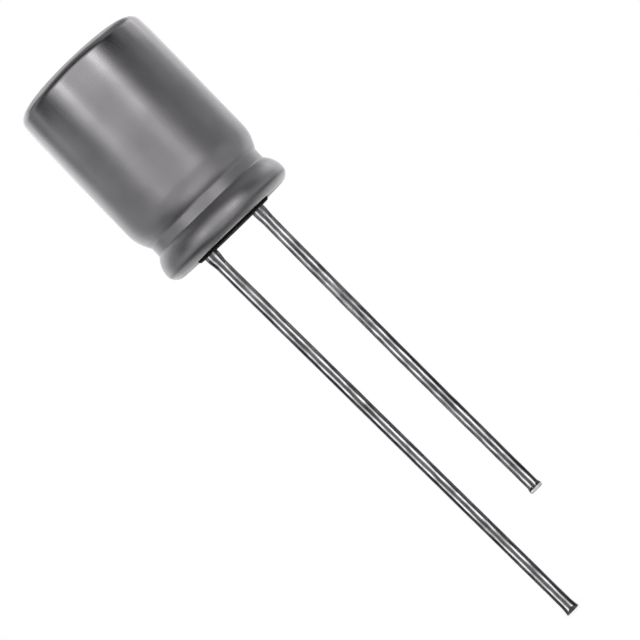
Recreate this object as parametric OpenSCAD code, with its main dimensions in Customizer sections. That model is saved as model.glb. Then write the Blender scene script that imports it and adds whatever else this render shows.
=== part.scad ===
// Aluminium polymer capacitor with two radial leads, a can that is beaded and curled over a rubber seal.
// The foot of the seal sits at z = 0, the can stands above it and the leads point down.

/* [Can] */
// Outside diameter of the can
can_d = 6.3; // [5.5:0.1:10]
// Height of the can from its curled rim to its closed top
can_h = 8.86; // [7:0.02:16]
// Thickness of the drawn aluminium
can_wall = 0.25; // [0.15:0.01:0.3]
// Outer radius of the edge round the closed top
top_r = 0.4; // [0.3:0.05:0.8]

/* [Bead] */
// Depth of the groove that is rolled into the wall
bead_depth = 0.32; // [0.3:0.01:0.45]
// Slope of the groove's upper flank away from the wall
bead_angle = 30; // [24:1:32]
// Slope of the groove's lower flank away from the wall
roll_angle = 41; // [30:1:42]
// Length of the groove's straight floor
bead_floor = 0.34; // [0.1:0.02:0.6]
// Radius of the bends into the floor
bead_bend_r = 0.15; // [0.1:0.05:0.25]
// Radius of the shoulder above the groove
shoulder_r = 1.8; // [1:0.1:2]
// Radius of the roll below the groove
roll_r = 1.05; // [0.6:0.05:1.15]

/* [Rim] */
// Outer radius of the curled rim
rim_r = 0.47; // [0.4:0.01:0.6]
// Angle through which the rim is curled in
rim_angle = 150; // [110:5:155]

/* [Seal] */
// Height of the rubber seal above the rim
seal_h = 2.4; // [1.8:0.1:4]
// Bevel round the top of the seal
seal_bevel = 0.3; // [0.1:0.05:0.5]
// Diameter of the foot that shows below the rim
foot_d = 3.76; // [3.5:0.02:4.4]
// How far the foot stands proud of the rim
foot_h = 0.09; // [0.05:0.01:0.5]
// Bevel round the foot
foot_bevel = 0.06; // [0.02:0.01:0.15]
// How far the face round the foot lies above the rim
face_rise = 0.15; // [0.05:0.01:0.2]
// Clearance round a lead in its dimple in the foot
dimple_gap = 0.12; // [0.1:0.01:0.2]
// Depth of that dimple
dimple_h = 0.12; // [0.05:0.01:0.2]
// Clearance between the seal and the can
seal_gap = 0.02; // [0.01:0.01:0.04]

/* [Leads] */
// Distance between the two leads
lead_pitch = 2.5; // [2:0.1:2.8]
// Diameter of the tinned wire
wire_d = 0.5; // [0.4:0.05:0.6]
// Length of the long lead below the foot
anode_len = 20.25; // [8:0.05:40]
// Length of the short lead below the foot
cathode_len = 15.75; // [6:0.05:35]
// Lean of the long lead towards the short one
anode_lean = 1.2; // [-2:0.1:2]
// Lean of the short lead away from the long one
cathode_lean = 0.9; // [-2:0.1:2]
// How much thicker than the wire a lead is where it leaves the seal
swell = 0.05; // [0.02:0.01:0.15]
// Length of that swelling
swell_h = 0.5; // [0.3:0.05:1]
// How much wider than the wire the cutter spread a lead's end
tip_spread = 0.08; // [0.02:0.01:0.15]
// Length over which the end spreads
tip_h = 0.4; // [0.2:0.05:0.8]
// Height of the two cutter faces at the end of the long lead
anode_cut_h = 0.22; // [0.05:0.01:0.3]
// Height of the two cutter faces at the end of the short lead
cathode_cut_h = 0.14; // [0.05:0.01:0.3]

/* [Tabs] */
// Diameter of the round aluminium shank in the seal
shank_d = 1.1; // [0.8:0.05:1.3]
// Height of the weld between wire and shank above the foot
weld_z = 0.9; // [0.6:0.05:1.4]
// How far the weld stays inside the side of the shank
weld_inset = 0.12; // [0.05:0.01:0.2]
// Height of the weld
weld_h = 0.3; // [0.1:0.05:0.5]
// How far the shank stands above the seal
shank_rise = 0.1; // [0.05:0.05:0.5]
// Height over which the shank is pressed flat
press_h = 0.5; // [0.3:0.05:1]
// Thickness of the flat blade
blade_t = 0.25; // [0.15:0.01:0.4]
// Width of the flat blade
blade_w = 1.6; // [1.3:0.05:2]
// How far the blade ends below the top of the winding
blade_margin = 0.8; // [0.3:0.1:2]
// Clearance of shanks and wires in the seal, and of blades in the winding
bore_gap = 0.02; // [0.01:0.01:0.05]

/* [Winding] */
// Diameter of the hole that the winding arbor leaves
core_d = 0.9; // [0.6:0.05:1.2]
// Distance from one turn to the next
turn_pitch = 0.34; // [0.25:0.01:0.5]
// Width of the gap between the paper edges at the ends of the roll
turn_gap_w = 0.14; // [0.08:0.01:0.2]
// Depth of that gap, from the paper edges down to the foil edges
turn_gap_h = 0.18; // [0.1:0.02:0.4]
// Clearance above the roll
head_gap = 0.35; // [0.2:0.05:1]
// Thickness of the stop tape
tape_t = 0.06; // [0.04:0.01:0.1]
// Bare length of the roll above and below the tape
tape_margin = 0.5; // [0.2:0.1:1.2]
// Clearance between the tape and the can
side_gap = 0.12; // [0.05:0.01:0.3]

/* [Hidden] */
$fn = 96;
bend_step = 10;
turn_step = 20;
overlap = 0.1;

// Heights above the foot
can_top = foot_h + can_h;
seal_top = foot_h + seal_h;
shank_top = seal_top + shank_rise;
element_z = shank_top + press_h;
element_top = can_top - can_wall - head_gap;
element_h = element_top - element_z;
blade_len = element_h - blade_margin;

// Radii of the wall where other pieces meet it
can_r = can_d / 2;
tape_r = can_r - can_wall - side_gap;
element_r = tape_r - tape_t;

// Diameters along a lead
swell_d = wire_d + swell;
dimple_d = swell_d + 2 * dimple_gap;
tip_d = wire_d + tip_spread;
weld_d = shank_d - 2 * weld_inset;

// Straight stretches between the bends of the bead
upper_bends = shoulder_r + bead_bend_r;
lower_bends = roll_r + bead_bend_r;
upper_flank = (bead_depth - upper_bends * (1 - cos(bead_angle))) / sin(bead_angle);
lower_flank = (bead_depth - lower_bends * (1 - cos(roll_angle))) / sin(roll_angle);
upper_h = upper_bends * sin(bead_angle) + upper_flank * cos(bead_angle);
lower_h = lower_bends * sin(roll_angle) + lower_flank * cos(roll_angle);
plain_wall = can_h - top_r - upper_h - bead_floor - lower_h - rim_r;

// The wall as stretches from the middle of the top to the curled lip. A straight stretch is [length, 0].
// A bend is [radius of the outer face, turn], and a turn below 0 bends outwards.
wall_stretches = [
    [can_r - top_r, 0],
    [top_r, 90],
    [plain_wall, 0],
    [shoulder_r, bead_angle],
    [upper_flank, 0],
    [bead_bend_r, -bead_angle],
    [bead_floor, 0],
    [bead_bend_r, -roll_angle],
    [lower_flank, 0],
    [roll_r, roll_angle],
    [rim_r, rim_angle],
];

// Direction that points into the sheet, to the right of a heading
function inwards(heading) = [sin(heading), -cos(heading)];

// Point reached from a place after part of a stretch
function reach(place, heading, size, turn, part) =
    turn == 0
        ? place + part * size * [cos(heading), sin(heading)]
        : place + sign(turn) * size * (inwards(heading) - inwards(heading - part * turn));

// Places and headings along the stretches, with a bend taken in steps
function walk(stretches, place, heading, i = 0) =
    i == len(stretches) ? [[place, heading]] :
    let (
        size = stretches[i][0],
        turn = stretches[i][1],
        steps = max(1, ceil(abs(turn) / bend_step))
    )
    concat(
        [for (k = [0 : steps - 1])
            [reach(place, heading, size, turn, k / steps), heading - turn * k / steps]],
        walk(stretches, reach(place, heading, size, turn, 1), heading - turn, i + 1));

// Outer face of the wall, and the same walk carried past the end of the lip by the seal's clearance
wall_path = walk(wall_stretches, [0, can_top], 0);
past_lip = walk([[seal_gap, 0]], wall_path[len(wall_path) - 1][0], wall_path[len(wall_path) - 1][1])[1];

// Points of a walk moved into the sheet by a depth
function at_depth(path, depth) = [for (step = path) step[0] + depth * inwards(step[1])];

function reversed(points) = [for (i = [len(points) - 1 : -1 : 0]) points[i]];

module can() {
    color("#a4a5a8")
        rotate_extrude()
            polygon(concat(at_depth(wall_path, 0), reversed(at_depth(wall_path, can_wall))));
}

// Half section of the rubber, squeezed against the inside of the wall and round the lip, with its foot
module seal_section() {
    face_z = foot_h + face_rise;
    foot_r = foot_d / 2;
    lip_edge = at_depth([past_lip], -seal_gap)[0];
    intersection() {
        polygon(concat(
            at_depth(wall_path, can_wall + seal_gap),
            at_depth([past_lip], can_wall + seal_gap),
            [lip_edge, [lip_edge[0], face_z], [foot_r, face_z]],
            [[foot_r, foot_bevel], [foot_r - foot_bevel, 0], [0, 0]]));
        polygon([[0, -overlap], [can_r, -overlap], [can_r, seal_top - seal_bevel],
                 [can_r - can_wall - seal_bevel, seal_top], [0, seal_top]]);
    }
}

// Stepped hole for a wire, its weld and its shank, with a dimple where the wire leaves
module lead_bore() {
    wire_bore_d = wire_d + 2 * bore_gap;
    shank_bore_d = shank_d + 2 * bore_gap;
    translate([0, 0, -overlap])
        cylinder(d = dimple_d, h = dimple_h + overlap);
    translate([0, 0, -overlap])
        cylinder(d = wire_bore_d, h = weld_z - weld_h + 2 * overlap);
    translate([0, 0, weld_z - weld_h])
        cylinder(d1 = wire_bore_d, d2 = shank_bore_d, h = weld_h);
    translate([0, 0, weld_z])
        cylinder(d = shank_bore_d, h = seal_top);
}

module rubber_seal() {
    color("#171718")
        difference() {
            rotate_extrude()
                seal_section();
            for (side = [-1, 1])
                translate([side * lead_pitch / 2, 0, 0])
                    lead_bore();
        }
}

// Point on the spiral of the turns, moved out by an offset
function turn_point(angle, offset) =
    (core_d / 2 + turn_pitch * (0.5 + angle / 360) + offset) * [cos(angle), sin(angle)];

// Spiral gap between the turns, as it shows at the ends of the roll
module turn_gap() {
    last = 360 * ((element_r - core_d / 2) / turn_pitch - 1);
    angles = [0 : turn_step : last];
    linear_extrude(turn_gap_h + overlap)
        polygon(concat(
            [for (angle = angles) turn_point(angle, turn_gap_w / 2)],
            reversed([for (angle = angles) turn_point(angle, -turn_gap_w / 2)])));
}

module wound_element() {
    color("#8d8377")
        difference() {
            translate([0, 0, element_z])
                cylinder(r = element_r, h = element_h);
            translate([0, 0, element_z - overlap])
                cylinder(d = core_d, h = element_h + 2 * overlap);
            translate([0, 0, element_top - turn_gap_h])
                turn_gap();
            translate([0, 0, element_z - overlap])
                turn_gap();
            for (side = [-1, 1])
                translate([side * lead_pitch / 2 - blade_t / 2 - bore_gap, -blade_w / 2 - bore_gap,
                           element_z - overlap])
                    cube([blade_t + 2 * bore_gap, blade_w + 2 * bore_gap, blade_len + bore_gap + overlap]);
        }
}

module winding_tape() {
    color("#b58d4e")
        translate([0, 0, element_z + tape_margin])
            difference() {
                cylinder(r = tape_r, h = element_h - 2 * tape_margin);
                translate([0, 0, -overlap])
                    cylinder(r = element_r, h = element_h);
            }
}

// Shank pressed from a round rod at the bottom into a flat blade at the top
module pressed_part() {
    intersection() {
        cylinder(d1 = shank_d, d2 = 2 * blade_w, h = press_h);
        rotate([90, 0, 0])
            linear_extrude(2 * blade_w, center = true)
                polygon([[-shank_d / 2, 0], [shank_d / 2, 0], [blade_t / 2, press_h], [-blade_t / 2, press_h]]);
        rotate([90, 0, 90])
            linear_extrude(2 * shank_d, center = true)
                polygon([[-shank_d / 2, 0], [shank_d / 2, 0], [blade_w / 2, press_h], [-blade_w / 2, press_h]]);
    }
}

// Aluminium lead-out on one side: round shank in the seal, flat blade in the winding
module tab(side) {
    color("#c3c5c8")
        translate([side * lead_pitch / 2, 0, 0]) {
            translate([0, 0, weld_z])
                cylinder(d = shank_d, h = shank_top - weld_z);
            translate([0, 0, shank_top])
                pressed_part();
            translate([-blade_t / 2, -blade_w / 2, element_z])
                cube([blade_t, blade_w, blade_len]);
        }
}

module anode_tab() { tab(-1); }

module cathode_tab() { tab(1); }

// Wire below the swelling, along -Z, ending in two faces that a cutter left, with an edge between them
module cut_wire(length, cut_h) {
    difference() {
        union() {
            translate([0, 0, -length])
                cylinder(d = wire_d, h = length - swell_h / 2);
            translate([0, 0, -length])
                cylinder(d1 = tip_d, d2 = wire_d, h = tip_h);
        }
        for (turn = [0, 180])
            translate([0, 0, -length])
                rotate([-atan2(cut_h, tip_d / 2), 0, turn])
                    translate([-tip_d, -2 * tip_d, -tip_d])
                        cube([2 * tip_d, 2 * tip_d, tip_d]);
    }
}

// Tinned wire on one side: weld, swelling under the seal, and a free length that leans by an angle
module lead(side, length, lean, cut_h) {
    color("#cfd0d2")
        translate([side * lead_pitch / 2, 0, 0]) {
            translate([0, 0, weld_z - weld_h])
                cylinder(d1 = wire_d, d2 = weld_d, h = weld_h);
            translate([0, 0, -swell_h / 2])
                cylinder(d = wire_d, h = weld_z - weld_h + swell_h / 2);
            translate([0, 0, -swell_h])
                cylinder(d = swell_d, h = swell_h + dimple_h);
            rotate([0, -lean, 0])
                cut_wire(length, cut_h);
        }
}

module anode_lead() { lead(-1, anode_len, anode_lean, anode_cut_h); }

module cathode_lead() { lead(1, cathode_len, cathode_lean, cathode_cut_h); }

can();
rubber_seal();
wound_element();
winding_tape();
anode_tab();
cathode_tab();
anode_lead();
cathode_lead();
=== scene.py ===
"""Looks of an aluminium polymer capacitor: a beaded can, its rubber seal and two tinned leads."""

import math

import bmesh
import bpy
import numpy as np
from bpy.props import FloatProperty, FloatVectorProperty, IntProperty, PointerProperty
from mathutils import Matrix, Vector


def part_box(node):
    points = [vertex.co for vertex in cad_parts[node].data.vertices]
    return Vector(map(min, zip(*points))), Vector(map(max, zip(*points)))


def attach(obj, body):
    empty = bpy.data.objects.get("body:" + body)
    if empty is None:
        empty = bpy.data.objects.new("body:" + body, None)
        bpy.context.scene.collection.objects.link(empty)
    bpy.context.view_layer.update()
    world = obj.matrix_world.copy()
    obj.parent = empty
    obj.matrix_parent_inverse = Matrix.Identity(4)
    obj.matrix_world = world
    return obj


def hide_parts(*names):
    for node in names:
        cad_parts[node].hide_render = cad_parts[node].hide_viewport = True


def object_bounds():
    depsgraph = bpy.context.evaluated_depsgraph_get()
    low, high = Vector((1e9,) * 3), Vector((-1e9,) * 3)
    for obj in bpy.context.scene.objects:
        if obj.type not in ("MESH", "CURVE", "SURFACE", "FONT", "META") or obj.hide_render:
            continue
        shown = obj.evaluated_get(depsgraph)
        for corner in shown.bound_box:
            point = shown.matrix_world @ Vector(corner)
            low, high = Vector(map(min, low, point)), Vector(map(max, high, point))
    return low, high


bl_info = {
    "name": "Polymer capacitor",
    "version": (1, 0, 0),
    "blender": (4, 5, 0),
    "location": "View3D > Sidebar > Capacitor",
    "description": "Builds the looks of a radial-lead polymer capacitor and the studio round it",
    "category": "Object",
}

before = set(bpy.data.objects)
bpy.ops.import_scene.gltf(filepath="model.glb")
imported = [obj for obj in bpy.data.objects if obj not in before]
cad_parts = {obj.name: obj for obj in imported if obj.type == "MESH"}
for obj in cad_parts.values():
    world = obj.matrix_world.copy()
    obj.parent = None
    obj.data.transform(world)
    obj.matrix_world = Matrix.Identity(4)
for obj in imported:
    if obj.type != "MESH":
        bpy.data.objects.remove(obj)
CAD_LOW, CAD_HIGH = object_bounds()
CAN_LOW, CAN_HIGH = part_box("can")
LONG_LOW, LONG_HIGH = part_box("anode_lead")
SHORT_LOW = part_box("cathode_lead")[0]
SEAL_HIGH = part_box("rubber_seal")[1]

MM = 0.001

# Points closer than this are welded
WELD_DISTANCE = 0.00001 * MM

# Edges that bend by more than this stay sharp
CAN_SHARP = math.radians(40)
LEAD_SHARP = math.radians(35)
SEAL_SHARP = math.radians(30)

# Points on each stretch of the can's wall, and the angle for which a bend gets one more
STRETCH_POINTS = 6
BEND_STEP = math.radians(3)

# Rings along a lead, from its neck in the seal over its swelling, wire and spread end to the cutter faces
NECK_RINGS = 8
SWELL_RINGS = 40
WIRE_RINGS = 260
FLARE_RINGS = 24
FACE_RINGS = 9

# The swelling reaches this many times the length over which it fades
SWELL_REACH = 1.3

# Powers of the curves by which a lead's end spreads and the corners of its edge are rounded off
SPREAD_POWER = 1.5
CORNER_POWER = 8

# Ripples in the tin: weight, waves round the wire, pitch along it in millimetres and phase
RIPPLES = (
    (0.9, 1, 5.3, 0.4),
    (0.7, 2, 2.9, 1.9),
    (0.8, 3, 1.7, 4.1),
    (0.6, 5, 1.13, 2.6),
    (0.5, 2, 0.71, 5.2),
)

# Values of a grain pattern between which a finish changes: nearly all of them, or the middle ones alone
GRAIN_SPAN = {"From Min": 0.3, "From Max": 0.7}
STREAK_SPAN = {"From Min": 0.38, "From Max": 0.62}
PATCH_SPAN = {"From Min": 0.48, "From Max": 0.64}

# Sockets of a colour Mix node, by number because several share one name
MIX_SHARE = 0
MIX_FROM = 6
MIX_TO = 7
MIX_COLOUR = 2

# Camera: width of its sensor in millimetres, and the nearest and furthest that it sees
SENSOR_WIDTH = 36
CLIP_NEAR = 1 * MM
CLIP_FAR = 5000 * MM

# Corners of a flat sheet in order round it
CORNERS = ((-1, -1), (1, -1), (1, 1), (-1, 1))

# Lamps, with the pieces that they light alone or spare; with no pieces named they light everything
LEADS = ("long_lead", "short_lead")
LAMPS = (
    (("panel",), LEADS, "EXCLUDE"),
    (("high_left", "high_right"), (), "INCLUDE"),
    (("bounce", "right_bounce", "apron", "fill"), ("can_shell",), "INCLUDE"),
    (("back_left", "back_right", "back_top", "right_kick"), ("can_shell",), "INCLUDE"),
    (("left_wing", "right_wing", "low_back_left", "low_back_right"), ("can_shell",), "INCLUDE"),
    (("low_left", "low_right", "low_back", "high_front"), LEADS, "INCLUDE"),
    (("short_side", "under"), ("short_lead",), "INCLUDE"),
)

# Cards, by the setting that gives their distance
CARDS = {
    "near": ("right_flag", "left_flag", "ceiling", "table"),
    "far": ("right_side", "left_side", "middle"),
}

# Groups of settings that the panel lists below each operator
PARTS = {
    "can": ("can",),
    "leads": ("leads", "long_lead", "short_lead"),
    "seal": ("seal",),
    "inside": ("finishes",),
    "stage": ("studio",),
}


def linear(code):
    """Linear RGBA of an sRGB hex colour."""
    parts = np.array([int(code[k:k + 2], 16) for k in (1, 3, 5)]) / 255
    flat = np.where(parts <= 0.04045, parts / 12.92, ((parts + 0.055) / 1.055) ** 2.4)
    return (*flat.tolist(), 1.0)


def length(label, text, size):
    """Length property whose default is given in metres."""
    return FloatProperty(name=label, description=text, default=size, unit="LENGTH", precision=5)


def angle(label, text, degrees):
    """Angle property whose default is given in degrees."""
    return FloatProperty(name=label, description=text, default=math.radians(degrees), subtype="ANGLE")


def share(label, text, value):
    """Property that is a share or a factor."""
    return FloatProperty(name=label, description=text, default=value, subtype="FACTOR", min=0, soft_max=2)


def count(label, text, value):
    """Property that counts steps or points, three at least."""
    return IntProperty(name=label, description=text, default=value, min=3)


def numbers(label, text, values, **kind):
    """Property that holds a row of numbers."""
    return FloatVectorProperty(name=label, description=text, default=values, size=len(values), **kind)


def lengths(label, text, sizes):
    """Property that holds a row of lengths, whose defaults are given in metres."""
    return numbers(label, text, sizes, unit="LENGTH", precision=5)


def colour(label, text, code):
    """Colour property whose default is an sRGB hex colour."""
    return numbers(label, text, linear(code), subtype="COLOR")


def fitting(label, text, *placing):
    """Lamp or card as its azimuth, elevation, width and height in degrees, then its radiance or its grey."""
    return numbers(label, text, placing)


class CanSizes(bpy.types.PropertyGroup):
    """Sizes of the drawn can."""

    radius: length("Radius", "Outside radius of the wall", CAN_HIGH.x)
    top: length("Top", "Height of the closed top above the foot", CAN_HIGH.z)
    rim: length("Rim", "Height of the curled rim above the foot", CAN_LOW.z)
    wall: length("Wall", "Thickness of the aluminium", 0.25 * MM)
    top_radius: length("Top edge", "Outer radius of the edge round the top", 0.45 * MM)
    crown_radius: length("Crown", "Radius of the faint curve of the wall below the top edge", 20 * MM)
    crown_turn: angle("Crown turn", "Angle of that curve", 3)
    bead_depth: length("Bead depth", "Depth of the rolled groove", 0.32 * MM)
    bead_slope: angle("Bead slope", "Slope of the groove's upper flank", 30)
    roll_slope: angle("Roll slope", "Slope of the groove's lower flank", 41)
    bead_floor: length("Bead floor", "Length of the groove's straight floor", 0.34 * MM)
    bend_radius: length("Bead bends", "Radius of the bends into the floor", 0.15 * MM)
    shoulder_radius: length("Shoulder", "Radius of the bend above the groove", 1.8 * MM)
    roll_radius: length("Roll", "Radius of the roll below the groove", 1.05 * MM)
    rim_radius: length("Rim radius", "Outer radius of the curled rim", 0.47 * MM)
    rim_curl: angle("Rim curl", "Angle through which the rim is curled in", 150)
    # Rings of painted shade: darker aluminium in the bead's bends and under the curled rim, where shade
    # falls
    rings: lengths("Rings", "Heights of the rings that rollers wore", (0.385 * MM, 1.19 * MM, 1.86 * MM))
    ring_shade: numbers("Ring wear", "Wear at those rings", (0.75, 0.1, 0.3))
    ring_shade_width: length("Ring width", "Half width of those rings", 0.08 * MM)
    segments: count("Segments", "Steps round the can", 192)


class LeadSizes(bpy.types.PropertyGroup):
    """Sizes that both tinned leads share."""

    pitch: length("Pitch", "Distance between the leads", 2.5 * MM)
    wire_radius: length("Wire", "Radius of the wire with its tin", 0.266 * MM)
    weld_top: length("Weld top", "Height of the weld above the foot", LONG_HIGH.z)
    weld_height: length("Weld height", "Height of the weld", 0.3 * MM)
    weld_radius: length("Weld radius", "Radius of the weld at its top", 0.43 * MM)
    swell_top: length("Swelling top", "Height of the swelling's upper end above the foot", 0.12 * MM)
    swell_length: length("Swelling length", "Length over which the swelling fades below the foot", 0.5 * MM)
    ripple: length("Ripple", "Height of the ripples in the tin", 0.001 * MM)
    # Painted shade along the edge that the cutter left, and the height of that line
    outline: share("Outline", "Wear along the edge that the cutter left", 0.8)
    outline_width: length("Outline width", "Height of the wear along that edge", 0.06 * MM)
    segments: count("Segments", "Steps round a wire", 64)


def lead_fields(drop, lean, jog, bow, swell, tip, corner, cut, curve, smear, burr_shade):
    """Properties that both leads have, with one lead's defaults in metres, degrees and shares."""
    tip_radius, tip_start, tip_full = tip
    shape = "Power of the curve along the top of those faces: 1 is a gable, more is a box"
    return {
        "drop": length("Drop", "Depth of the end below the foot", drop),
        "lean": angle("Lean", "Lean towards +X", lean),
        "jog": length("Jog", "Shift along X where the lead leaves the seal", jog),
        "bow": length("Bow", "Bow along X at half the length", bow),
        "swell": length("Swelling", "How far the tin stands out where the lead leaves the seal", swell),
        "tip_radius": length("Tip", "Half width to which the cutter spread the end", tip_radius),
        "tip_start": length("Spread start", "Height above the end where it starts to spread", tip_start),
        "tip_full": length("Spread full", "Height above the end where it is spread in full", tip_full),
        "corner": length("Corner", "How far the ends of the cut edge are rounded off", corner),
        "cut": length("Cut", "Height of the two cutter faces", cut),
        "curve": FloatProperty(name="Cut curve", description=shape, default=curve),
        # Painted shade: on the two cutter faces, and in a band of this height above them
        "smear": share("Smear", "Wear of the two cutter faces", smear),
        "burr_shade": length("Burr", "Height of the dark burr above the faces", burr_shade),
    }


class LongLead(bpy.types.PropertyGroup):
    """Run and cut end of the long lead."""

    __annotations__ = lead_fields(
        drop=-LONG_LOW.z,
        lean=1.48,
        jog=-0.066 * MM,
        bow=-0.006 * MM,
        swell=0.05 * MM,
        tip=(0.31 * MM, 0.45 * MM, 0.02 * MM),
        corner=0.02 * MM,
        cut=0.26 * MM,
        curve=1.8,
        # The long lead's cutter faces carry painted shade
        smear=0.6,
        burr_shade=0.01 * MM,
    )


class ShortLead(bpy.types.PropertyGroup):
    """Run and cut end of the short lead."""

    __annotations__ = lead_fields(
        drop=-SHORT_LOW.z,
        lean=1.04,
        jog=0.0,
        bow=-0.035 * MM,
        swell=0.03 * MM,
        tip=(0.305 * MM, 0.32 * MM, 0.17 * MM),
        corner=0.05 * MM,
        cut=0.19 * MM,
        curve=9.0,
        smear=0.0,
        # Height of the band of painted shade above the short lead's cutter faces
        burr_shade=0.14 * MM,
    )


class SealSizes(bpy.types.PropertyGroup):
    """Sizes of the rubber seal."""

    top: length("Top", "Height of the seal's upper face above the foot", SEAL_HIGH.z)
    bevel: length("Bevel", "Bevel round the upper face", 0.3 * MM)
    gap: length("Gap", "Clearance between the rubber and the can", 0.02 * MM)
    face: length("Face", "Height of the face round the foot", 0.24 * MM)
    foot_radius: length("Foot", "Radius of the foot", 1.88 * MM)
    foot_bevel: length("Foot bevel", "Bevel round the foot", 0.06 * MM)
    wire_bore: length("Wire bore", "Radius of the hole round a wire", 0.27 * MM)
    shank_bore: length("Shank bore", "Radius of the hole round a shank", 0.57 * MM)
    dimple_radius: length("Dimple", "Radius of the dimple round a lead", 0.395 * MM)
    dimple_depth: length("Dimple depth", "Depth of that dimple", 0.12 * MM)
    line_points: count("Line points", "Points along the line between the leads", 24)


class Finishes(bpy.types.PropertyGroup):
    """Colours and roughness of the materials."""

    can: colour("Can", "Satin drawn aluminium", "#9b999c")
    # Colour of the rings of painted shade on the can
    ring: colour("Rings", "Aluminium where the rollers wore it", "#69686a")
    can_rough: numbers("Can roughness", "Roughness of the wall near its bead and near its top", (0.4, 0.26))
    can_fade: lengths("Can fade", "Heights between which that roughness changes", (3 * MM, 8.5 * MM))
    tin: colour("Tin", "Bright tin plating", "#aeadb0")
    # Colour of the painted shade at the leads' cut ends
    burr_shade: colour("Burr", "Metal smeared by the cutter", "#38383a")
    tin_rough: share("Tin roughness", "Roughness of the tin plating", 0.17)
    rubber: colour("Rubber", "Black moulded rubber", "#1a1a1b")
    paper: colour("Paper", "Separator paper of the winding", "#8d8377")
    film: colour("Film", "Polyimide film of the stop tape", "#b07a2e")
    tab: colour("Tab", "Pressed aluminium of the tabs", "#bfc1c4")


class Studio(bpy.types.PropertyGroup):
    """Camera, lamps and room."""

    camera: lengths("Camera", "Place of the camera", (-2.4544 * MM, -75.6218 * MM, -1.696 * MM))
    aim: lengths("Aim", "Point in the middle of the picture", (-0.0104 * MM, 0, -4.8679 * MM))
    roll: angle("Roll", "Turn of the camera about its own axis", -44.012)
    lens: FloatProperty(name="Lens", description="Focal length", default=107.603, unit="CAMERA")
    distance: length("Distance", "Distance of lamps and cards from the object", 250 * MM)
    panel: fitting("Front panel", "Large soft panel above the camera", -8, 19, 93, 36, 0.57)
    high_left: fitting("High left", "Lamp whose light shows at the can's top edge", -38, 15, 11, 13, 1.75)
    high_right: fitting("High right", "Lamp whose light shows at the can's top edge", 25, 15, 11, 13, 2.05)
    bounce: fitting("Bounce", "Light thrown up to the can by the table", 3, -43, 54, 20, 0.66)
    right_bounce: fitting("Right bounce", "Light thrown up to the right of the bead", 62, -42, 40, 20, 0.45)
    apron: fitting("Apron", "Dim light from the edge of the table", -6, -24, 84, 28, 0.33)
    fill: fitting("Fill", "Dim light on the left of the can", -88, 17, 40, 34, 0.26)
    back_left: fitting("Back left", "Light along the left edge of the can", -151, 4, 46, 60, 0.75)
    back_right: fitting("Back right", "Light along the right edge of the can", 148, 1, 50, 54, 0.69)
    back_top: fitting("Back top", "Light behind, which the can's top edge shows", -172, 62, 62, 44, 0.7)
    right_kick: fitting("Right kick", "Light high on the right edge of the can", 116, 18, 30, 18, 0.55)
    left_wing: fitting("Left wing", "Dim light low on the left of the can", -92, -12, 60, 24, 0.34)
    right_wing: fitting("Right wing", "Dim light low on the right of the can", 86, -12, 60, 24, 0.36)
    low_back_left: fitting("Low back left", "Table behind, which the rim shows", -145, -44, 50, 36, 0.45)
    low_back_right: fitting("Low back right", "Table behind, which the rim shows", 145, -44, 50, 36, 0.45)
    low_left: fitting("Low left", "Lamp whose light runs down the leads", -52, -7, 27, 26, 1.2)
    low_right: fitting("Low right", "Lamp whose light runs down the leads", 37, -7, 29, 26, 1.22)
    low_back: fitting("Low back", "Lamp whose light runs down the leads' backs", 180, -14, 30, 30, 0.9)
    high_front: fitting("High front", "Lamp that the leads show when seen from below", -8, 31, 80, 18, 0.6)
    short_side: fitting("Short side", "Dim light on the left of the short lead", -88, -9, 40, 22, 0.22)
    under: fitting("Under", "Table behind, which the short lead's cut end shows", 180, -62, 110, 50, 0.75)
    right_flag: fitting("Right flag", "Dark card high on the right", 61, 21, 30, 22, 0.03)
    left_flag: fitting("Left flag", "Dark card high on the left", -80, 21, 34, 22, 0.25)
    ceiling: fitting("Ceiling", "Dark card that the bead's lower flank shows", -12, 57, 140, 26, 0.2)
    table: fitting("Table", "Dark card that the bead's upper flank shows", 0, -64, 140, 24, 0.06)
    right_side: fitting("Right side", "Dark card that the leads' right flanks show", 88, -11, 60, 20, 0.2)
    left_side: fitting("Left side", "Dark card that the leads' left flanks show", -95, -11, 50, 20, 0.2)
    middle: fitting("Middle", "Grey card that the middle of the leads shows", -8, -7, 30, 28, 0.7)
    near: share("Near cards", "Distance of the cards before the lamps as a share of the lamps' own", 0.8)
    far: share("Far cards", "Distance of the cards behind the lamps as a share of the lamps' own", 1.2)
    room: share("Room", "Level of the dim room round the lamps", 0.32)
    backdrop: numbers("Backdrop", "Share of +Y in a direction where it starts and is full", (0.8, 1.0))
    floor: colour("Floor", "Pale floor", "#e4e4e4")
    floor_glow: share("Floor glow", "Light that the camera sees added to the floor", 0.75)
    floor_size: length("Floor size", "Half width of the floor", 400 * MM)


class CapacitorSettings(bpy.types.PropertyGroup):
    """All settings of the capacitor scene."""

    can: PointerProperty(type=CanSizes, name="Can", description="Sizes of the can")
    leads: PointerProperty(type=LeadSizes, name="Leads", description="Sizes that both leads share")
    long_lead: PointerProperty(type=LongLead, name="Long lead", description="Its run and cut end")
    short_lead: PointerProperty(type=ShortLead, name="Short lead", description="Its run and cut end")
    seal: PointerProperty(type=SealSizes, name="Seal", description="Sizes of the seal")
    finishes: PointerProperty(type=Finishes, name="Finishes", description="Colours and roughness")
    studio: PointerProperty(type=Studio, name="Studio", description="Camera, lamps and room")


def grid_faces(rows, columns, start, flipped):
    """Quads of a grid that closes round its columns, with points numbered row by row from a start.

    Quad (i, j) joins points (i, j), (i + 1, j), (i + 1, j + 1) and (i, j + 1), where the last column
    meets the first.
    """
    i, j = np.meshgrid(np.arange(rows - 1), np.arange(columns), indexing="ij")
    after = (j + 1) % columns
    this_row = start + i * columns
    next_row = this_row + columns
    quads = np.stack([this_row + j, next_row + j, next_row + after, this_row + after], axis=-1)
    quads = quads.reshape(-1, 4)
    return quads[:, ::-1] if flipped else quads


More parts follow.
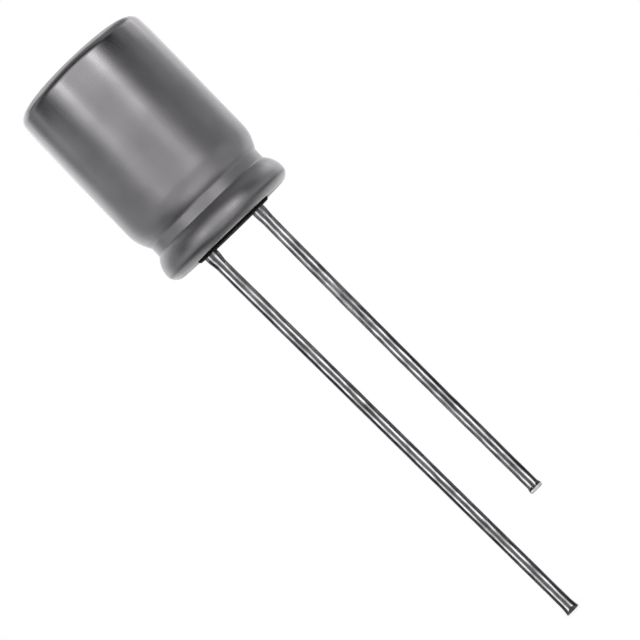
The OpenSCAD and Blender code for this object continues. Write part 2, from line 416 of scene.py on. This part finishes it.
def surface_piece(name, grids, sharp, shade_and_wear=None):
    """Object made of closed grids of points, welded where they meet, with edges over an angle kept sharp.

    Each grid is a pair of an array of rows by columns by 3 and whether its faces are flipped. The share of
    painted shade and wear at each point, where it is given, becomes the attribute shade_and_wear.
    """
    points, quads, start = [], [], 0
    for grid, flipped in grids:
        rows, columns = grid.shape[:2]
        points.append(grid.reshape(-1, 3))
        quads.append(grid_faces(rows, columns, start, flipped))
        start += rows * columns
    mesh = bpy.data.meshes.new(name)
    mesh.from_pydata(np.concatenate(points).tolist(), [], np.concatenate(quads).tolist())
    if shade_and_wear is not None:
        mesh.attributes.new("shade_and_wear", "FLOAT", "POINT").data.foreach_set("value", shade_and_wear.ravel())
    shape = bmesh.new()
    shape.from_mesh(mesh)
    bmesh.ops.remove_doubles(shape, verts=shape.verts, dist=WELD_DISTANCE)
    volume = shape.calc_volume(signed=True)
    loose = sum(1 for edge in shape.edges if not edge.is_manifold)
    shape.to_mesh(mesh)
    shape.free()
    if volume <= 0 or loose:
        raise ValueError(f"{name}: volume {volume}, {loose} open edges")
    mesh.shade_smooth()
    mesh.set_sharp_from_angle(angle=sharp)
    piece = bpy.data.objects.new(name, mesh)
    bpy.context.scene.collection.objects.link(piece)
    return piece


def finish_piece(piece, material, node):
    """Gives a piece its material, sets it on the body and lets it stand for a CAD node."""
    piece.data.materials.append(material)
    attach(piece, "root")
    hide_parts(node)


def revolved(section, segments):
    """Grid of a section of radii and heights, turned about Z: (r cos a, r sin a, z) for each angle a."""
    turn = np.linspace(0, 2 * np.pi, segments, endpoint=False)
    radius, height = section[:, :1], section[:, 1:]
    return np.stack([radius * np.cos(turn), radius * np.sin(turn), height + 0 * turn], axis=-1)


def inwards(heading):
    """Directions that point into the sheet, to the right of a heading."""
    return np.stack([np.sin(heading), -np.cos(heading)], axis=-1)


def wall_walk(can):
    """Places and headings along the outer face of the wall, from the middle of the top to the lip.

    The wall is a chain of stretches. A straight one of length L goes on by L along the heading. A bend of
    radius R and turn A goes round a circle of radius R, while its heading falls by A; a turn below 0
    bends outwards. A flank of the bead is just long enough to reach the bead's depth with its two bends.
    """
    flanks, bead = [], can.bead_floor
    for radius, slope in ((can.shoulder_radius, can.bead_slope), (can.roll_radius, can.roll_slope)):
        bends = radius + can.bend_radius
        flanks.append((can.bead_depth - bends * (1 - math.cos(slope))) / math.sin(slope))
        bead += bends * math.sin(slope) + flanks[-1] * math.cos(slope)
    edge_turn = math.pi / 2 - can.crown_turn
    edge_wide = can.top_radius * math.sin(edge_turn) + can.crown_radius * (1 - math.sin(edge_turn))
    edge_high = can.top_radius * (1 - math.cos(edge_turn)) + can.crown_radius * math.cos(edge_turn)
    stretches = [
        (can.radius - edge_wide, 0),
        (can.top_radius, edge_turn),
        (can.crown_radius, can.crown_turn),
        (can.top - can.rim - edge_high - bead - can.rim_radius, 0),
        (can.shoulder_radius, can.bead_slope),
        (flanks[0], 0),
        (can.bend_radius, -can.bead_slope),
        (can.bead_floor, 0),
        (can.bend_radius, -can.roll_slope),
        (flanks[1], 0),
        (can.roll_radius, can.roll_slope),
        (can.rim_radius, can.rim_curl),
    ]
    place, heading = np.array([0, can.top]), 0.0
    places, headings = [], []
    for size, turn in stretches:
        part = np.linspace(0, 1, STRETCH_POINTS + int(abs(turn) / BEND_STEP))
        ahead = heading - part * turn
        if turn:
            path = place + np.sign(turn) * size * (inwards(heading) - inwards(ahead))
        else:
            path = place + part[:, None] * size * np.array([math.cos(heading), math.sin(heading)])
        places.append(path[:-1])
        headings.append(ahead[:-1])
        place, heading = path[-1], ahead[-1]
    return np.vstack([*places, place]), np.append(np.concatenate(headings), heading)


def can_grid(can):
    """Grid of the can and its share of painted shade.

    It is the wall's outer face and its inner face one thickness deeper, turned about Z. At a distance d in
    height from one of the rings of painted shade, the shade on the outer face is the ring's own times
    exp(-(d / width) ** 2).
    """
    places, headings = wall_walk(can)
    inside = places + can.wall * inwards(headings)
    grid = revolved(np.vstack([places, inside[::-1]]), can.segments)
    # Painted shade in rings on the outer face; the inner face has none
    away = (places[:, 1:] - np.array(can.rings)) / can.ring_shade_width
    shade_and_wear = np.exp(-away ** 2) @ np.array(can.ring_shade)
    shade_and_wear = np.concatenate([shade_and_wear, np.zeros(len(places))])
    return grid, np.repeat(shade_and_wear, can.segments)


def smooth_step(x):
    """Smooth rise from 0 at x = 0 to 1 at x = 1."""
    x = np.clip(x, 0, 1)
    return x * x * (3 - 2 * x)


def wire_rings(leads, lead, turn, end):
    """Depths and radii of a lead's rings from its weld down to the depth where its end starts to spread.

    The radius is the wire's own, with a smooth bump where the lead leaves the seal. Below the foot come
    ripples: a sum of sine waves that run round the wire and along it.
    """
    swell_end = SWELL_REACH * leads.swell_length
    depth = np.concatenate([
        np.linspace(leads.weld_height - leads.weld_top, -leads.swell_top, NECK_RINGS)[:-1],
        np.linspace(-leads.swell_top, swell_end, SWELL_RINGS)[:-1],
        np.linspace(swell_end, end, WIRE_RINGS),
    ])[:, None]
    bump = smooth_step(1 + depth / leads.swell_top) * smooth_step((swell_end - depth) / leads.swell_length)
    waves = sum(
        weight * np.sin(around * turn + 2 * np.pi * depth / (pitch * MM) + phase)
        for weight, around, pitch, phase in RIPPLES
    )
    ripples = leads.ripple * smooth_step(depth / swell_end) * waves
    return depth + 0 * turn, leads.wire_radius + lead.swell * bump + ripples


def flare_rings(leads, lead, start, brow, above):
    """Depths and radii of the rings where a lead's end spreads, down to the brow of its cutter faces.

    At a share p of the way down, what the last ring above stands out beyond the wire's own radius has
    faded to 1 - p, and the end has spread by a power of its depth below the start.
    """
    part = np.linspace(0, 1, FLARE_RINGS)[1:, None]
    depth = start + part * (brow - start)
    spread = np.clip((depth - start) / (lead.tip_start - lead.tip_full), 0, 1) ** SPREAD_POWER
    radius = leads.wire_radius + (lead.tip_radius - leads.wire_radius) * spread
    return depth, radius + (above - leads.wire_radius) * (1 - part)


def lead_grid(leads, lead, side):
    """Grid of one lead and its painted shade and wear, from the middle of its weld to the edge that the
    cutter left.

    A ring at depth d below the foot has a radius r(d): the weld's cone, the wire and the flare towards the
    end. Below the foot the axis leans by an angle and bows by a half sine. At the end, two cutter faces
    run from their brow, at cut * (1 - |cos a| ** curve) above the edge, to that edge along X, whose ends
    are rounded off by corner * |cos a| ** power. Painted shade darkens a band above the brow, where the
    cutter left a step and a burr, a line along the edge, and the faces evenly.
    """
    turn = np.linspace(0, 2 * np.pi, leads.segments, endpoint=False)
    reach = lead.drop / math.cos(lead.lean)
    start = reach - lead.tip_start
    edge = reach - lead.corner * np.abs(np.cos(turn)) ** CORNER_POWER
    rise = lead.cut * (1 - np.abs(np.cos(turn)) ** lead.curve)
    brow = edge - rise
    wire, wire_radius = wire_rings(leads, lead, turn, start)
    flare, flare_radius = flare_rings(leads, lead, start, brow, wire_radius[-1])
    left = np.linspace(1, 0, FACE_RINGS)[1:, None]
    face = edge - rise * left

    weld = np.full((2, leads.segments), -leads.weld_top)
    weld_radius = np.repeat([[0], [leads.weld_radius]], leads.segments, axis=1)
    depth = np.vstack([weld, wire, flare, face])
    wide = np.vstack([weld_radius, wire_radius, flare_radius, flare_radius[-1] + 0 * face])
    thick = np.ones_like(depth)
    thick[-len(face):] = left
    x, y = wide * np.cos(turn), wide * thick * np.sin(turn)
    tilt = lead.lean * (depth > 0)
    bow = lead.bow * np.sin(np.pi * np.clip(depth / reach, 0, 1))
    middle = side * leads.pitch / 2 + lead.jog * smooth_step(1 + depth / leads.swell_top) + bow
    grid = np.stack([
        middle + x * np.cos(tilt) + depth * np.sin(tilt),
        y,
        x * np.sin(tilt) - depth * np.cos(tilt),
    ], axis=-1)
    # Painted shade: a band above the brow, a line along the cut edge and an even share on the faces
    shade_and_wear = smooth_step(1 - (brow - depth) / lead.burr_shade)
    line = leads.outline * smooth_step(1 - (edge - face) / leads.outline_width)
    shade_and_wear[-len(face):] = np.maximum(line, lead.smear)
    return grid, shade_and_wear


def seal_section(seal, can):
    """Outside of the rubber as radii and heights, from the edge of its upper face to the edge of its foot.

    The bevel of the upper face slopes down until it meets a path at a gap from the inside of the wall. The
    rubber follows that path, goes round the lip, and steps down to the foot.
    """
    places, headings = wall_walk(can)
    into = inwards(headings)
    along = np.array([math.cos(headings[-1]), math.sin(headings[-1])]) * seal.gap
    path = places + (can.wall + seal.gap) * into
    edge = can.radius - can.wall - seal.bevel
    above = path[:, 1] - seal.top + (path[:, 0] - edge) * seal.bevel / (can.wall + seal.bevel)
    first = int(np.flatnonzero(above[:-1] * (path[:-1, 0] > edge) > 0)[-1])
    part = above[first] / (above[first] - above[first + 1])
    lip = places[-1] + along - seal.gap * into[-1]
    foot, bevel = seal.foot_radius, seal.foot_bevel
    return np.vstack([
        [edge, seal.top],
        path[first] + part * (path[first + 1] - path[first]),
        path[first + 1:],
        path[-1] + along,
        lip,
        [lip[0], seal.face],
        [foot, seal.face],
        [foot, bevel],
        [foot - bevel, 0],
    ])


def well_grid(seal, leads, can, side):
    """Grid of half the seal's upper face, a bore and half the foot's face, in columns round that bore.

    A column starts on the edge of the half upper face, runs to the bore, down its steps and the dimple, and
    out to the edge of the half foot: a half circle and the straight line through the middle, both seen from
    the bore.
    """
    half = np.linspace(-np.pi / 2, np.pi / 2, can.segments // 2 + 1)
    line = np.linspace(1, -1, seal.line_points + 2)[1:-1]
    ring = np.vstack([np.stack([np.cos(half), np.sin(half)], -1), np.stack([0 * line, line], -1)])
    middle = np.array([leads.pitch / 2, 0])
    foot = seal.foot_radius - seal.foot_bevel
    out = ring * foot - middle
    out = out / np.linalg.norm(out, axis=1)[:, None]
    steps = [
        (seal.shank_bore, seal.top),
        (seal.shank_bore, leads.weld_top),
        (seal.wire_bore, leads.weld_top - leads.weld_height),
        (seal.wire_bore, seal.dimple_depth),
        (seal.dimple_radius, seal.dimple_depth),
        (seal.dimple_radius, 0),
    ]
    rings = [(ring * (can.radius - can.wall - seal.bevel), seal.top)]
    rings += [(middle + radius * out, height) for radius, height in steps]
    rings += [(ring * foot, 0)]
    grid = np.stack([np.column_stack([flat, np.full(len(flat), height)]) for flat, height in rings])
    return grid * np.array([side, side, 1])


def add_node(tree, kind, sockets=None, **settings):
    """Adds a node with its settings, and sets or links its input sockets by name or number."""
    made = tree.nodes.new(kind)
    for name, value in settings.items():
        setattr(made, name, value)
    for socket, value in (sockets or {}).items():
        if isinstance(value, bpy.types.NodeSocket):
            tree.links.new(value, made.inputs[socket])
        else:
            made.inputs[socket].default_value = value
    return made


def new_material(name):
    """Empty material and its node tree."""
    material = bpy.data.materials.new(name)
    material.use_nodes = True
    material.node_tree.nodes.clear()
    return material, material.node_tree


def grains(tree, size, stretch=(1, 1, 1), detail=2.0):
    """Pattern of grains on object coordinates, with a size in millimetres and a stretch along each axis."""
    place = add_node(tree, "ShaderNodeTexCoord").outputs["Object"]
    shrink = [1 / part for part in stretch]
    shrunk = add_node(tree, "ShaderNodeMapping", {"Vector": place, "Scale": shrink}).outputs[0]
    sockets = {"Vector": shrunk, "Scale": 1 / (size * MM), "Detail": detail}
    return add_node(tree, "ShaderNodeTexNoise", sockets).outputs[0]


def mottled(tree, pattern, tone, low, high, span=GRAIN_SPAN):
    """Colour tone whose brightness a pattern moves between low and high times itself."""
    part = add_node(tree, "ShaderNodeMapRange", {**span, "Value": pattern}).outputs[0]
    dark = [level * low for level in tone[:3]]
    light = [min(1, level * high) for level in tone[:3]]
    sockets = {MIX_SHARE: part, MIX_FROM: (*dark, 1), MIX_TO: (*light, 1)}
    return add_node(tree, "ShaderNodeMix", sockets, data_type="RGBA").outputs[MIX_COLOUR]


def shade_and_wear_tone(tree, tone, shaded_tone):
    """Colour tone that goes over to another one by the piece's share of painted shade and wear."""
    shade_and_wear = add_node(tree, "ShaderNodeAttribute", attribute_name="shade_and_wear").outputs["Fac"]
    sockets = {MIX_SHARE: shade_and_wear, MIX_FROM: tone, MIX_TO: shaded_tone}
    return add_node(tree, "ShaderNodeMix", sockets, data_type="RGBA").outputs[MIX_COLOUR]


def drawn_aluminium(finishes):
    """Satin aluminium drawn along the can's axis: soft blotches and dents, faint upright lines, painted
    shade in rings.

    The wall is duller near its bead than near its top. Real drawing lines are finer than the 0.16 mm here,
    which is as coarse as they need to show.
    """
    material, tree = new_material("drawn_aluminium")
    lines = grains(tree, size=0.16, stretch=(1, 1, 40))
    blotches = grains(tree, size=1.8)
    dents = grains(tree, size=1.3, detail=0.0)
    tone = mottled(tree, blotches, finishes.can, low=0.88, high=1.1)
    place = add_node(tree, "ShaderNodeTexCoord").outputs["Object"]
    height = add_node(tree, "ShaderNodeSeparateXYZ", {0: place}).outputs["Z"]
    wall = add_node(tree, "ShaderNodeMapRange", {
        "Value": height,
        "From Min": finishes.can_fade[0],
        "From Max": finishes.can_fade[1],
        "To Min": finishes.can_rough[0],
        "To Max": finishes.can_rough[1],
    })
    gloss = {**GRAIN_SPAN, "Value": lines, "To Min": -0.02, "To Max": 0.02}
    fine = add_node(tree, "ShaderNodeMapRange", gloss)
    rough = add_node(tree, "ShaderNodeMath", {0: wall.outputs[0], 1: fine.outputs[0]}, operation="ADD")
    wavy = add_node(tree, "ShaderNodeBump", {"Distance": 0.016 * MM, "Height": dents})
    drawn = {"Strength": 0.03, "Distance": 0.004 * MM, "Height": lines, "Normal": wavy.outputs[0]}
    bump = add_node(tree, "ShaderNodeBump", drawn)
    shader = add_node(tree, "ShaderNodeBsdfPrincipled", {
        # The aluminium goes darker at the rings of painted shade
        "Base Color": shade_and_wear_tone(tree, tone, finishes.ring),
        "Metallic": 1.0,
        "Roughness": rough.outputs[0],
        "Normal": bump.outputs[0],
    })
    add_node(tree, "ShaderNodeOutputMaterial", {"Surface": shader.outputs[0]})
    return material


def tinned_wire(finishes):
    """Bright tin on drawn wire: streaks that break up the highlights along it, dull patches, painted shade
    at the cut end.

    The tin's crystals are finer than the 0.07 mm lines here, which are as coarse as they need to show.
    """
    material, tree = new_material("tinned_wire")
    streaks = grains(tree, size=0.18, stretch=(1, 1, 3.5), detail=3.0)
    patches = grains(tree, size=0.5, stretch=(1, 1, 3))
    lines = grains(tree, size=0.07, stretch=(1, 1, 3))
    tone = mottled(tree, streaks, finishes.tin, low=0.58, high=1.38, span=STREAK_SPAN)
    dull = {**PATCH_SPAN, "Value": patches}
    bright, matt = finishes.tin_rough - 0.03, finishes.tin_rough + 0.2
    rough = add_node(tree, "ShaderNodeMapRange", {**dull, "To Min": bright, "To Max": matt})
    strength = add_node(tree, "ShaderNodeMapRange", {**dull, "To Min": 0.05, "To Max": 0.6})
    crystals = {"Strength": strength.outputs[0], "Distance": 0.006 * MM, "Height": lines}
    bump = add_node(tree, "ShaderNodeBump", crystals)
    shader = add_node(tree, "ShaderNodeBsdfPrincipled", {
        # The tin goes darker where the cut end carries painted shade
        "Base Color": shade_and_wear_tone(tree, tone, finishes.burr_shade),
        "Metallic": 1.0,
        "Roughness": rough.outputs[0],
        "Normal": bump.outputs[0],
    })
    add_node(tree, "ShaderNodeOutputMaterial", {"Surface": shader.outputs[0]})
    return material


def moulded_rubber(finishes):
    """Black filled rubber with the fine grain of its mould and a dusty bloom.

    The mould's own grain is finer than the 0.05 mm here, which is as coarse as it needs to show.
    """
    material, tree = new_material("moulded_rubber")
    grain = grains(tree, size=0.05)
    bloom = grains(tree, size=0.9)
    gloss = {**GRAIN_SPAN, "Value": grain, "To Min": 0.75, "To Max": 0.9}
    rough = add_node(tree, "ShaderNodeMapRange", gloss)
    bump = add_node(tree, "ShaderNodeBump", {"Strength": 0.3, "Distance": 0.006 * MM, "Height": grain})
    shader = add_node(tree, "ShaderNodeBsdfPrincipled", {
        "Base Color": mottled(tree, bloom, finishes.rubber, low=0.8, high=1.25),
        "Roughness": rough.outputs[0],
        "Specular IOR Level": 0.25,
        "Normal": bump.outputs[0],
    })
    add_node(tree, "ShaderNodeOutputMaterial", {"Surface": shader.outputs[0]})
    return material


def separator_paper(finishes):
    """Brown separator paper soaked with polymer: fibres that lie round the roll and darker soaked patches.

    Real fibres are finer than the 0.08 mm here, which is as coarse as they need to show.
    """
    material, tree = new_material("separator_paper")
    fibres = grains(tree, size=0.08, stretch=(1, 1, 0.3), detail=4.0)
    soaked = grains(tree, size=1.2)
    gloss = {**GRAIN_SPAN, "Value": fibres, "To Min": 0.75, "To Max": 0.95}
    rough = add_node(tree, "ShaderNodeMapRange", gloss)
    bump = add_node(tree, "ShaderNodeBump", {"Strength": 0.4, "Distance": 0.01 * MM, "Height": fibres})
    shader = add_node(tree, "ShaderNodeBsdfPrincipled", {
        "Base Color": mottled(tree, soaked, finishes.paper, low=0.75, high=1.1),
        "Roughness": rough.outputs[0],
        "Normal": bump.outputs[0],
    })
    add_node(tree, "ShaderNodeOutputMaterial", {"Surface": shader.outputs[0]})
    return material


def polyimide_film(finishes):
    """Amber polyimide film with faint wrinkles and an even gloss."""
    material, tree = new_material("polyimide_film")
    wrinkles = grains(tree, size=0.7, stretch=(1, 1, 4))
    gloss = {**GRAIN_SPAN, "Value": wrinkles, "To Min": 0.25, "To Max": 0.35}
    rough = add_node(tree, "ShaderNodeMapRange", gloss)
    bump = add_node(tree, "ShaderNodeBump", {"Strength": 0.3, "Distance": 0.01 * MM, "Height": wrinkles})
    shader = add_node(tree, "ShaderNodeBsdfPrincipled", {
        "Base Color": mottled(tree, wrinkles, finishes.film, low=0.9, high=1.1),
        "Roughness": rough.outputs[0],
        "Normal": bump.outputs[0],
    })
    add_node(tree, "ShaderNodeOutputMaterial", {"Surface": shader.outputs[0]})
    return material


def pressed_aluminium(finishes):
    """Bare aluminium pressed flat, with the cross marks of the press."""
    material, tree = new_material("pressed_aluminium")
    marks = grains(tree, size=0.12, stretch=(1, 6, 1))
    gloss = {**GRAIN_SPAN, "Value": marks, "To Min": 0.3, "To Max": 0.45}
    rough = add_node(tree, "ShaderNodeMapRange", gloss)
    bump = add_node(tree, "ShaderNodeBump", {"Strength": 0.3, "Distance": 0.008 * MM, "Height": marks})
    shader = add_node(tree, "ShaderNodeBsdfPrincipled", {
        "Base Color": mottled(tree, marks, finishes.tab, low=0.9, high=1.05),
        "Metallic": 1.0,
        "Roughness": rough.outputs[0],
        "Normal": bump.outputs[0],
    })
    add_node(tree, "ShaderNodeOutputMaterial", {"Surface": shader.outputs[0]})
    return material


def pale_floor(studio):
    """Pale floor sheet with a faint grain: white to the camera where no shadow falls, clear from below."""
    material, tree = new_material("pale_floor")
    tone = mottled(tree, grains(tree, size=8.0), studio.floor, low=0.98, high=1.0)
    lit = add_node(tree, "ShaderNodeBsdfDiffuse", {"Color": tone})
    seen = add_node(tree, "ShaderNodeLightPath").outputs["Is Camera Ray"]
    level = add_node(tree, "ShaderNodeMapRange", {"Value": seen, "To Max": studio.floor_glow})
    glow = add_node(tree, "ShaderNodeEmission", {"Strength": level.outputs[0]})
    both = add_node(tree, "ShaderNodeAddShader", {0: lit.outputs[0], 1: glow.outputs[0]})
    clear = add_node(tree, "ShaderNodeBsdfTransparent")
    below = add_node(tree, "ShaderNodeNewGeometry").outputs["Backfacing"]
    sheet = add_node(tree, "ShaderNodeMixShader", {0: below, 1: both.outputs[0], 2: clear.outputs[0]})
    add_node(tree, "ShaderNodeOutputMaterial", {"Surface": sheet.outputs[0]})
    return material


def dull_felt(name, grey):
    """Dull grey felt of a studio card, with a faint nap, drawn far coarser than it is."""
    material, tree = new_material(f"{name}_felt")
    tone = mottled(tree, grains(tree, size=3.0), (grey, grey, grey), low=0.95, high=1.05)
    lit = add_node(tree, "ShaderNodeBsdfDiffuse", {"Color": tone})
    add_node(tree, "ShaderNodeOutputMaterial", {"Surface": lit.outputs[0]})
    return material


class CAPACITOR_OT_can(bpy.types.Operator):
    """Builds the drawn can with its bead and curled rim"""

    bl_idname = "capacitor.can"
    bl_label = "Build can"

    def execute(self, context):
        settings = context.scene.capacitor
        grid, shade_and_wear = can_grid(settings.can)
        piece = surface_piece("can_shell", [(grid, False)], CAN_SHARP, shade_and_wear)
        finish_piece(piece, drawn_aluminium(settings.finishes), "can")
        return {"FINISHED"}


class CAPACITOR_OT_leads(bpy.types.Operator):
    """Builds the long and the short lead"""

    bl_idname = "capacitor.leads"
    bl_label = "Build leads"

    def execute(self, context):
        settings = context.scene.capacitor
        tin = tinned_wire(settings.finishes)
        for name, side, node in (("long_lead", -1, "anode_lead"), ("short_lead", 1, "cathode_lead")):
            grid, shade_and_wear = lead_grid(settings.leads, getattr(settings, name), side)
            piece = surface_piece(name, [(grid, False)], LEAD_SHARP, shade_and_wear)
            finish_piece(piece, tin, node)
        return {"FINISHED"}


class CAPACITOR_OT_seal(bpy.types.Operator):
    """Builds the rubber seal with its foot and bores"""

    bl_idname = "capacitor.seal"
    bl_label = "Build seal"

    def execute(self, context):
        settings = context.scene.capacitor
        section = seal_section(settings.seal, settings.can)
        grids = [(revolved(section, settings.can.segments), False)]
        grids += [(well_grid(settings.seal, settings.leads, settings.can, side), True) for side in (1, -1)]
        piece = surface_piece("seal_body", grids, SEAL_SHARP)
        finish_piece(piece, moulded_rubber(settings.finishes), "rubber_seal")
        return {"FINISHED"}


class CAPACITOR_OT_inside(bpy.types.Operator):
    """Gives the CAD nodes inside the can their materials"""

    bl_idname = "capacitor.inside"
    bl_label = "Finish inside"

    def execute(self, context):
        finishes = context.scene.capacitor.finishes
        tab = pressed_aluminium(finishes)
        looks = {
            "wound_element": separator_paper(finishes),
            "winding_tape": polyimide_film(finishes),
            "anode_tab": tab,
            "cathode_tab": tab,
        }
        for name, material in looks.items():
            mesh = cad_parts[name].data
            mesh.materials.clear()
            mesh.materials.append(material)
        return {"FINISHED"}


def add_sheet(name, corners, material):
    """Flat sheet of the stage."""
    mesh = bpy.data.meshes.new(name)
    mesh.from_pydata(corners, [], [(0, 1, 2, 3)])
    mesh.materials.append(material)
    sheet = bpy.data.objects.new(name, mesh)
    bpy.context.scene.collection.objects.link(sheet)
    return sheet


def add_floor(studio):
    """Square floor at the depth of the long lead's end; metal doesn't mirror it, and it casts no shadow."""
    half = studio.floor_size
    corners = [(x * half, y * half, CAD_LOW.z) for x, y in CORNERS]
    floor = add_sheet("floor", corners, pale_floor(studio))
    floor.visible_glossy = False
    floor.visible_shadow = False


def fitted(studio, placing):
    """Direction, width and height of a lamp or card that fills a patch of directions seen from the can."""
    azimuth, elevation, wide, high = [math.radians(value) for value in placing[:4]]
    flat = math.cos(elevation)
    away = Vector((flat * math.sin(azimuth), -flat * math.cos(azimuth), math.sin(elevation)))
    return away, 2 * studio.distance * math.tan(wide / 2), 2 * studio.distance * math.tan(high / 2)


def add_card(studio, name, part):
    """Felt card that faces the can at a part of the lamps' distance and that the camera doesn't see."""
    placing = getattr(studio, name)
    away, wide, high = fitted(studio, placing)
    across = Vector((0, 0, 1)).cross(away).normalized() * wide / 2
    upright = away.cross(across).normalized() * high / 2
    corners = [part * (away * studio.distance + (across * x + upright * y)) for x, y in CORNERS]
    card = add_sheet(name, corners, dull_felt(name, placing[4]))
    card.visible_camera = False


def add_lamp(studio, name, pieces, state):
    """Rectangular lamp that faces the can and lights or spares some pieces; the camera doesn't see it.

    A rectangle of radiance L and area A has the power 4 L A, as the renderer reads it.
    """
    placing = getattr(studio, name)
    away, wide, high = fitted(studio, placing)
    data = bpy.data.lights.new(name, "AREA")
    data.shape = "RECTANGLE"
    data.size = wide
    data.size_y = high
    data.energy = 4 * placing[4] * wide * high
    lamp = bpy.data.objects.new(name, data)
    lamp.location = away * studio.distance
    lamp.rotation_mode = "QUATERNION"
    lamp.rotation_quaternion = (-away).to_track_quat("-Z", "Y")
    lamp.visible_camera = False
    if pieces:
        linked = bpy.data.collections.new(name)
        for piece in pieces:
            linked.objects.link(bpy.data.objects[piece])
        for item in linked.collection_objects:
            item.light_linking.link_state = state
        lamp.light_linking.receiver_collection = linked
    bpy.context.scene.collection.objects.link(lamp)


def add_world(studio):
    """World that is white to the camera, through glass and to metal that mirrors what is behind the object.

    Everywhere else it is a dim room.
    """
    world = bpy.data.worlds.new("studio")
    bpy.context.scene.world = world
    world.use_nodes = True
    tree = world.node_tree
    tree.nodes.clear()
    path = add_node(tree, "ShaderNodeLightPath").outputs
    way = add_node(tree, "ShaderNodeTexCoord").outputs["Generated"]
    ahead = add_node(tree, "ShaderNodeSeparateXYZ", {0: way}).outputs["Y"]
    span = {"Value": ahead, "From Min": studio.backdrop[0], "From Max": studio.backdrop[1]}
    behind = add_node(tree, "ShaderNodeMapRange", span, interpolation_type="SMOOTHSTEP").outputs[0]
    metal = {0: path["Is Glossy Ray"], 1: behind}
    glass = {0: path["Is Camera Ray"], 1: path["Is Transmission Ray"]}
    mirrored = add_node(tree, "ShaderNodeMath", metal, operation="MULTIPLY").outputs[0]
    seen = add_node(tree, "ShaderNodeMath", glass, operation="MAXIMUM").outputs[0]
    white = add_node(tree, "ShaderNodeMath", {0: mirrored, 1: seen}, operation="MAXIMUM").outputs[0]
    level = add_node(tree, "ShaderNodeMapRange", {"Value": white, "To Min": studio.room}).outputs[0]
    light = add_node(tree, "ShaderNodeBackground", {"Color": (1, 1, 1, 1), "Strength": level})
    add_node(tree, "ShaderNodeOutputWorld", {"Surface": light.outputs[0]})


def add_camera(studio):
    """Camera at its place, aimed at a point and rolled about its own axis."""
    data = bpy.data.cameras.new("camera")
    data.sensor_width = SENSOR_WIDTH
    data.lens = studio.lens
    data.clip_start = CLIP_NEAR
    data.clip_end = CLIP_FAR
    ahead = (Vector(studio.aim) - Vector(studio.camera)).normalized()
    right = ahead.cross(Vector((0, 0, 1))).normalized()
    up = right.cross(ahead)
    turned_right = math.cos(studio.roll) * right + math.sin(studio.roll) * up
    turned_up = math.cos(studio.roll) * up - math.sin(studio.roll) * right
    camera = bpy.data.objects.new("camera", data)
    axes = Matrix((turned_right, turned_up, -ahead)).transposed()
    camera.matrix_world = Matrix.Translation(studio.camera) @ axes.to_4x4()
    bpy.context.scene.collection.objects.link(camera)
    bpy.context.scene.camera = camera


class CAPACITOR_OT_stage(bpy.types.Operator):
    """Sets up the floor, the lamps, the cards, the world and the camera"""

    bl_idname = "capacitor.stage"
    bl_label = "Set stage"

    def execute(self, context):
        studio = context.scene.capacitor.studio
        add_floor(studio)
        for names, pieces, state in LAMPS:
            for name in names:
                add_lamp(studio, name, pieces, state)
        for place, names in CARDS.items():
            for name in names:
                add_card(studio, name, getattr(studio, place))
        add_world(studio)
        add_camera(studio)
        context.scene.view_settings.view_transform = "Standard"
        return {"FINISHED"}


class CAPACITOR_PT_sidebar(bpy.types.Panel):
    """Sidebar with the operators and their settings"""

    bl_idname = "CAPACITOR_PT_sidebar"
    bl_label = "Polymer capacitor"
    bl_space_type = "VIEW_3D"
    bl_region_type = "UI"
    bl_category = "Capacitor"

    def draw(self, context):
        for part, groups in PARTS.items():
            box = self.layout.box()
            box.operator(f"capacitor.{part}")
            for group in groups:
                settings = getattr(context.scene.capacitor, group)
                for name in settings.__annotations__:
                    box.prop(settings, name)


CLASSES = (
    CanSizes,
    LeadSizes,
    LongLead,
    ShortLead,
    SealSizes,
    Finishes,
    Studio,
    CapacitorSettings,
    CAPACITOR_OT_can,
    CAPACITOR_OT_leads,
    CAPACITOR_OT_seal,
    CAPACITOR_OT_inside,
    CAPACITOR_OT_stage,
    CAPACITOR_PT_sidebar,
)


def register():
    """Registers the classes and hangs the settings on the scene."""
    for item in CLASSES:
        bpy.utils.register_class(item)
    bpy.types.Scene.capacitor = PointerProperty(type=CapacitorSettings)


def unregister():
    """Takes the settings and the classes away again."""
    del bpy.types.Scene.capacitor
    for item in reversed(CLASSES):
        bpy.utils.unregister_class(item)


def main():
    """Builds everything in order."""
    register()
    bpy.ops.capacitor.can()
    bpy.ops.capacitor.leads()
    bpy.ops.capacitor.seal()
    bpy.ops.capacitor.inside()
    bpy.ops.capacitor.stage()


if __name__ == "__main__":
    main()
